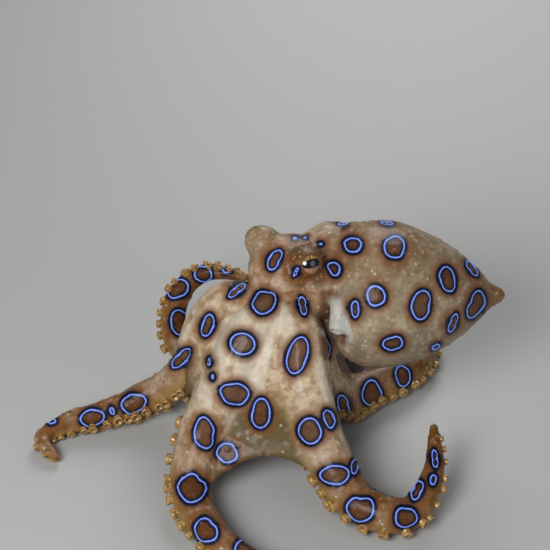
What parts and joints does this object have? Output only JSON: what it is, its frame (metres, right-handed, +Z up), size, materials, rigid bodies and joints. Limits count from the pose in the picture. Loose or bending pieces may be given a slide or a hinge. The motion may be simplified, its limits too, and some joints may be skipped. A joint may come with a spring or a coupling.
{
  "type": "blue ringed octopus",
  "caption": "Life-size blue ringed octopus walking on its arms, mantle held up to one side, arms curled and lined with suckers.",
  "frame": {"origin": "on the floor, under the middle of the animal's bounding box", "axes": "+Z up from the floor, +X towards the tip of the mantle, +Y away from the side that the picture shows"},
  "size_m": [0.1212, 0.13, 0.0576],
  "materials": {
    "body_skin": "wet skin, cream and brown mottle with bright blue rings",
    "arm_skin": "wet ochre skin with blue rings and pale suckers",
    "web_membrane": "thin wet membrane, olive cream",
    "funnel_skin": "pale smooth wet skin",
    "eye": "glossy golden eye with a dark slit pupil"
  },
  "bodies": {
    "root": {"head": "body_skin", "mantle": "body_skin", "arm_crown": "body_skin", "eye_left": "eye", "eye_right": "eye", "funnel": "funnel_skin", "arm_left_1_upper": "arm_skin", "arm_left_1_middle": "arm_skin", "arm_left_1_tip": "arm_skin", "arm_left_2_upper": "arm_skin", "arm_left_2_middle": "arm_skin", "arm_left_2_tip": "arm_skin", "arm_left_3_upper": "arm_skin", "arm_left_3_middle": "arm_skin", "arm_left_3_tip": "arm_skin", "arm_left_4_upper": "arm_skin", "arm_left_4_middle": "arm_skin", "arm_left_4_tip": "arm_skin", "arm_right_4_upper": "arm_skin", "arm_right_4_middle": "arm_skin", "arm_right_4_tip": "arm_skin", "arm_right_3_upper": "arm_skin", "arm_right_3_middle": "arm_skin", "arm_right_3_tip": "arm_skin", "arm_right_2_upper": "arm_skin", "arm_right_2_middle": "arm_skin", "arm_right_2_tip": "arm_skin", "arm_right_1_upper": "arm_skin", "arm_right_1_middle": "arm_skin", "arm_right_1_tip": "arm_skin", "web_1": "web_membrane", "web_2": "web_membrane", "web_3": "web_membrane", "web_4": "web_membrane", "web_5": "web_membrane", "web_6": "web_membrane", "web_7": "web_membrane", "web_8": "web_membrane"}
  },
  "joints": []
}
